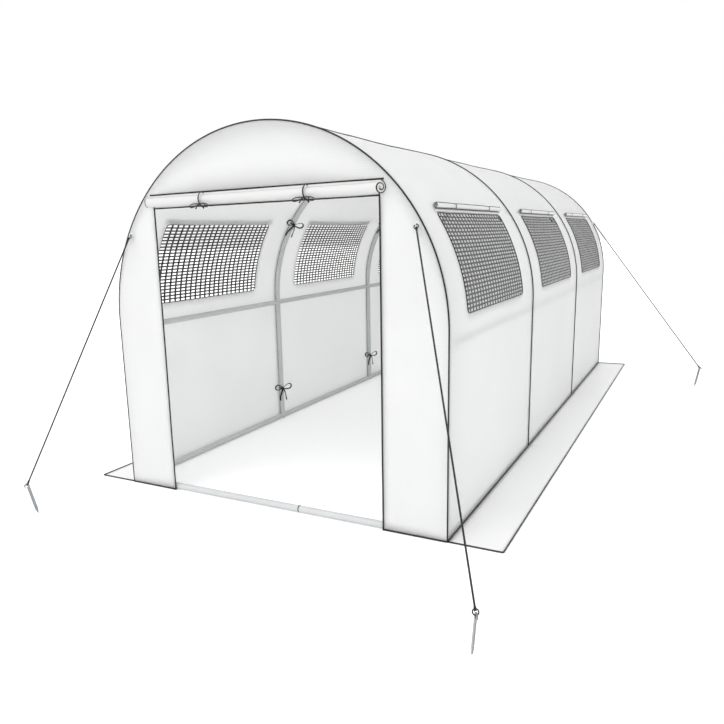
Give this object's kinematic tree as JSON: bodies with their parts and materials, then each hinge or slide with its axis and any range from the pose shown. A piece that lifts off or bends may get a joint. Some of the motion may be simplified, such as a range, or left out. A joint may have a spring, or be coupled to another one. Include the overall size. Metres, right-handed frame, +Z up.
{
  "type": "polytunnel greenhouse",
  "caption": "Walk-in tunnel greenhouse: round steel tube arches under a woven film cover, with netted side windows, a roll-up doorway, ground skirts and pegged guy ropes.",
  "frame": {"origin": "on the ground at the centre of the whole footprint, pegs and guy ropes included; the tunnel's own middle is 0.43 m behind it", "axes": "+Z up, +Y from the doorway end to the closed end, +X to the right when facing the doorway from outside"},
  "size_m": [3.991, 5.86, 2],
  "materials": {
    "tube_steel": "white powder coat on steel tube",
    "cover_film": "woven reinforced polyethylene sheet, white",
    "window_net": "black woven netting",
    "ribbon": "black woven ribbon",
    "rope": "dark braided polypropylene rope",
    "peg_steel": "bright zinc plated steel",
    "lug_plastic": "white moulded plastic"
  },
  "bodies": {
    "root": {"arch_1": "tube_steel", "arch_2": "tube_steel", "arch_3": "tube_steel", "arch_4": "tube_steel", "arch_ties_2": "ribbon", "arch_ties_3": "ribbon", "back_sill": "tube_steel", "back_wall": "cover_film", "base_rail_left": "tube_steel", "base_rail_right": "tube_steel", "cover_left_1": "cover_film", "cover_left_2": "cover_film", "cover_left_3": "cover_film", "cover_right_1": "cover_film", "cover_right_2": "cover_film", "cover_right_3": "cover_film", "door_roll": "cover_film", "door_ties": "ribbon", "front_sill_left": "tube_steel", "front_sill_right": "tube_steel", "front_wall_header": "cover_film", "front_wall_left": "cover_film", "front_wall_right": "cover_film", "ground_skirt_left": "cover_film", "ground_skirt_right": "cover_film", "guy_lugs": "lug_plastic", "guy_rope_back_left": "rope", "guy_rope_back_right": "rope", "guy_rope_front_left": "rope", "guy_rope_front_right": "rope", "peg_back_left": "peg_steel", "peg_back_right": "peg_steel", "peg_front_left": "peg_steel", "peg_front_right": "peg_steel", "purlin_left": "tube_steel", "purlin_right": "tube_steel", "ridge_purlin": "tube_steel", "window_flaps_left": "cover_film", "window_flaps_right": "cover_film", "window_nets_left": "window_net", "window_nets_right": "window_net"}
  },
  "joints": []
}
